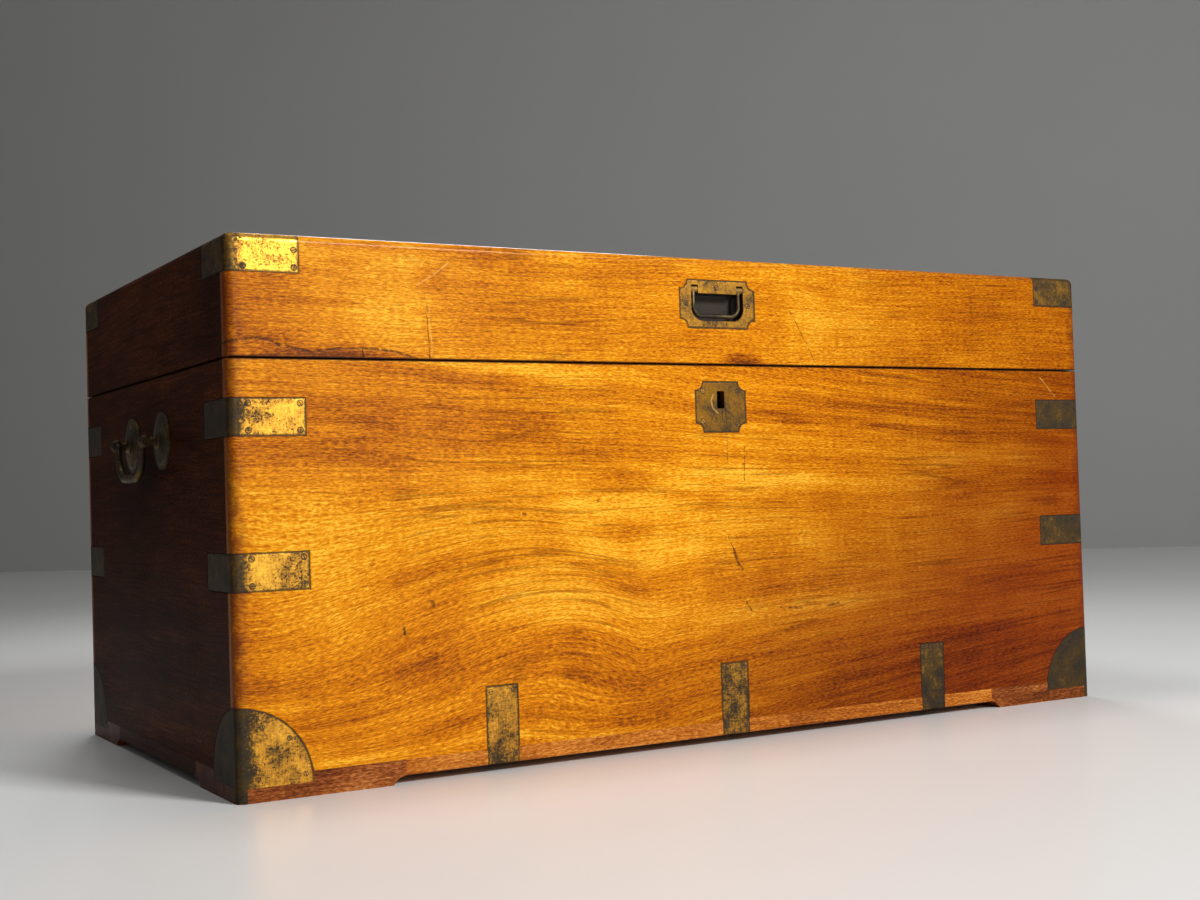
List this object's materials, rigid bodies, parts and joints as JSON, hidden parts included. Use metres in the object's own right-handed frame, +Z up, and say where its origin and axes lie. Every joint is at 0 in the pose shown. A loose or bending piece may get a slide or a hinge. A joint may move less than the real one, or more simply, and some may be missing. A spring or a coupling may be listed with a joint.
{
  "type": "brass-bound wooden trunk",
  "caption": "Rectangular camphor wood trunk with a hinged lid, flush brass binding, a flush lid pull, a box lock and drop handles on its ends.",
  "frame": {"origin": "On the floor, under the middle of the case.", "axes": "+X along the trunk's length to its right end as seen from the front, -Y out of the front, +Z up."},
  "size_m": [1.0466, 0.527, 0.48],
  "materials": {
    "case_wood": "waxed and polished, worn",
    "lid_wood": "waxed and polished, worn",
    "base_wood": "waxed, scuffed",
    "bottom_wood": "bare",
    "binding_brass": "old brass, pitted and rubbed",
    "pull_brass": "dull old brass",
    "lock_brass": "dull old brass",
    "handle_brass": "dark old brass",
    "hinge_brass": "dull old brass",
    "lock_iron": "dark, oiled"
  },
  "bodies": {
    "case": {"back_base_strip": "base_wood", "back_board": "case_wood", "back_left_bottom_strap": "binding_brass", "back_left_corner_plate": "binding_brass", "back_left_foot": "base_wood", "back_left_middle_strap": "binding_brass", "back_left_upper_strap": "binding_brass", "back_middle_bottom_strap": "binding_brass", "back_right_bottom_strap": "binding_brass", "back_right_corner_plate": "binding_brass", "back_right_foot": "base_wood", "back_right_middle_strap": "binding_brass", "back_right_upper_strap": "binding_brass", "bottom_board": "bottom_wood", "front_base_strip": "base_wood", "front_board": "case_wood", "front_left_bottom_strap": "binding_brass", "front_left_corner_plate": "binding_brass", "front_left_foot": "base_wood", "front_left_middle_strap": "binding_brass", "front_left_upper_strap": "binding_brass", "front_middle_bottom_strap": "binding_brass", "front_right_bottom_strap": "binding_brass", "front_right_corner_plate": "binding_brass", "front_right_foot": "base_wood", "front_right_middle_strap": "binding_brass", "front_right_upper_strap": "binding_brass", "handle_nuts": "handle_brass", "hinge_pins": "hinge_brass", "left_base_strip": "base_wood", "left_end_board": "case_wood", "left_handle_posts": "handle_brass", "left_handle_roses": "handle_brass", "left_hinge_lower_leaf": "hinge_brass", "lock_case": "lock_iron", "lock_plate": "lock_brass", "right_base_strip": "base_wood", "right_end_board": "case_wood", "right_handle_posts": "handle_brass", "right_handle_roses": "handle_brass", "right_hinge_lower_leaf": "hinge_brass"},
    "lid": {"back_left_lid_corner_cap": "binding_brass", "back_right_lid_corner_cap": "binding_brass", "front_left_lid_corner_cap": "binding_brass", "front_right_lid_corner_cap": "binding_brass", "left_hinge_upper_leaf": "hinge_brass", "lid_back_board": "lid_wood", "lid_front_board": "lid_wood", "lid_left_board": "lid_wood", "lid_right_board": "lid_wood", "lid_top_board": "lid_wood", "link_plate": "lock_iron", "pull_pins": "pull_brass", "pull_plate": "pull_brass", "right_hinge_upper_leaf": "hinge_brass"},
    "pull_handle": {"pull_handle": "pull_brass"},
    "left_handle": {"left_handle": "handle_brass"},
    "right_handle": {"right_handle": "handle_brass"},
    "lock_bolt": {"lock_bolt": "lock_iron"}
  },
  "joints": [
    {"name": "lid_hinge", "type": "hinge", "parent": "case", "child": "lid", "pos_m": [0, 0.2625, 0.3738], "axis": [-1, 0, 0], "range_deg": [0, 100]},
    {"name": "pull_handle_hinge", "type": "hinge", "parent": "lid", "child": "pull_handle", "pos_m": [0, -0.2566, 0.44895], "axis": [-1, 0, 0], "range_deg": [0, 95]},
    {"name": "left_handle_hinge", "type": "hinge", "parent": "case", "child": "left_handle", "pos_m": [-0.517, 0, 0.312], "axis": [0, 1, 0], "range_deg": [-16, 196]},
    {"name": "right_handle_hinge", "type": "hinge", "parent": "case", "child": "right_handle", "pos_m": [0.517, 0, 0.312], "axis": [0, -1, 0], "range_deg": [-16, 196]},
    {"name": "lock_bolt_slide", "type": "slide", "parent": "case", "child": "lock_bolt", "axis": [1, 0, 0], "range_m": [0, 0.008]}
  ]
}
